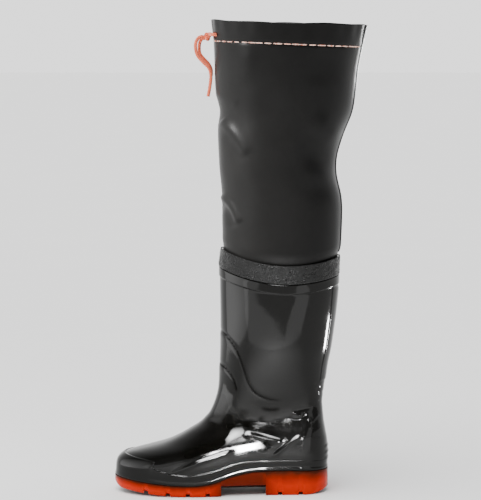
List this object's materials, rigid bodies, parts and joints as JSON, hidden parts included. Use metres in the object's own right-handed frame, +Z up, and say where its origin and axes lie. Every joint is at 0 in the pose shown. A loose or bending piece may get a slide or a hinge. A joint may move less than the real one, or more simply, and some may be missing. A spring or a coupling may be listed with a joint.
{
  "type": "hip wader",
  "caption": "Left hip wader: glossy black rubber boot on a lugged orange sole, with a soft black cloth leg to the thigh and a drawstring collar.",
  "frame": {"origin": "on the floor, under the middle of the whole wader's box without its drawstring", "axes": "+Z up along the leg, -X towards the toe, -Y towards the outer side of the left foot"},
  "size_m": [0.3518, 0.1598, 0.6627],
  "materials": {
    "outsole_rubber": "glossy translucent orange-red moulded rubber, darker towards its top edge",
    "insole_felt": "dark grey felt board",
    "boot_rubber": "very glossy black moulded rubber",
    "leg_cloth": "satin black coated cloth",
    "band_rubber": "rough black weld strip",
    "cord_orange": "salmon-orange braided cord"
  },
  "bodies": {
    "root": {"outsole": "outsole_rubber", "insole": "insole_felt", "boot_upper": "boot_rubber", "thigh_leg": "leg_cloth", "joint_band": "band_rubber", "collar_hem": "leg_cloth", "back_seam": "leg_cloth", "drawstring_lead_outer": "cord_orange", "drawstring_lead_inner": "cord_orange", "drawstring_knot": "cord_orange", "drawstring_tail_long": "cord_orange", "drawstring_tail_short": "cord_orange"}
  },
  "joints": []
}
